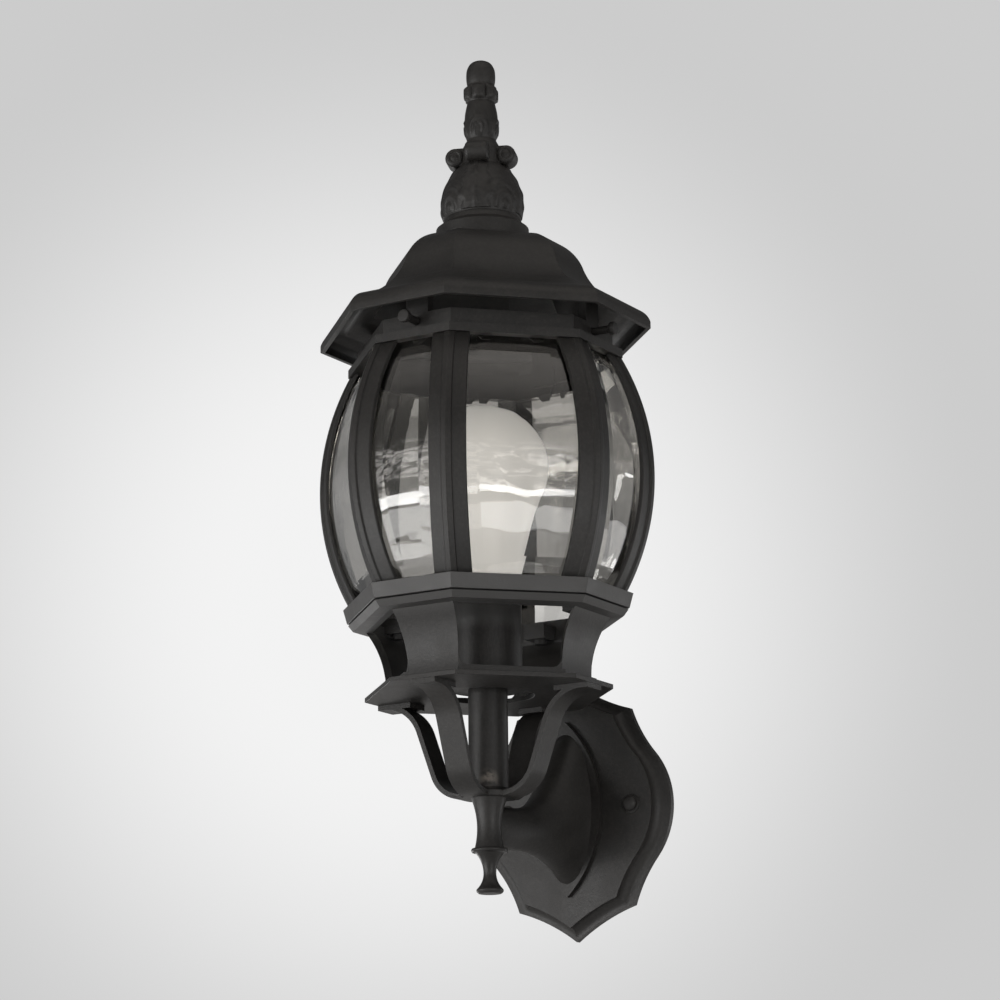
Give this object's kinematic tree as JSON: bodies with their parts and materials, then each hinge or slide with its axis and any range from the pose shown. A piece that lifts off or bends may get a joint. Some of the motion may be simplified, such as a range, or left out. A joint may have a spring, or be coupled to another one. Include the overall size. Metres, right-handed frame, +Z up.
{
  "type": "outdoor wall lantern",
  "caption": "Wall lantern with a faceted barrel of curved clear glass, bell roof with a cast finial, pierced gallery, scroll straps, and an arm on a shaped back plate.",
  "frame": {"origin": "centre of the back plate on the wall's surface, midway between the two mounting screws", "axes": "+Z up the wall, +Y into the wall, +X to the right seen from in front; the lantern stands out along -Y"},
  "size_m": [0.1566, 0.1763, 0.4282],
  "materials": {
    "black_coat": "satin black powder coat",
    "zinc_steel": "zinc plated",
    "clear_glass": "clear, with bevelled edges",
    "frosted_glass": "frosted white",
    "porcelain": "glazed",
    "brass": "plain"
  },
  "bodies": {
    "root": {"back_plate": "black_coat", "mounting_screws": "black_coat", "arm": "black_coat", "arm_screws": "zinc_steel", "drop_finial": "black_coat", "tie_rod": "zinc_steel", "rod_nut": "zinc_steel", "scroll_bracket": "black_coat", "strap_screws": "black_coat", "deck_plate": "black_coat", "column_tube": "black_coat", "socket_cup": "black_coat", "lampholder": "porcelain", "screw_shell": "brass", "centre_contact": "brass", "bulb": "frosted_glass", "gallery": "black_coat", "cage_screws": "black_coat", "cage_bottom_ring": "black_coat", "glass_panel_1": "clear_glass", "glass_panel_2": "clear_glass", "glass_panel_3": "clear_glass", "glass_panel_4": "clear_glass", "glass_panel_5": "clear_glass", "glass_panel_6": "clear_glass", "glass_panel_7": "clear_glass", "glass_panel_8": "clear_glass", "rib_1": "black_coat", "rib_2": "black_coat", "rib_3": "black_coat", "rib_4": "black_coat", "rib_5": "black_coat", "rib_6": "black_coat", "rib_7": "black_coat", "rib_8": "black_coat", "cage_top_ring": "black_coat", "glass_clips": "black_coat", "thumb_screws": "black_coat", "roof": "black_coat", "finial": "black_coat", "finial_stud": "zinc_steel", "finial_nut": "zinc_steel"}
  },
  "joints": []
}
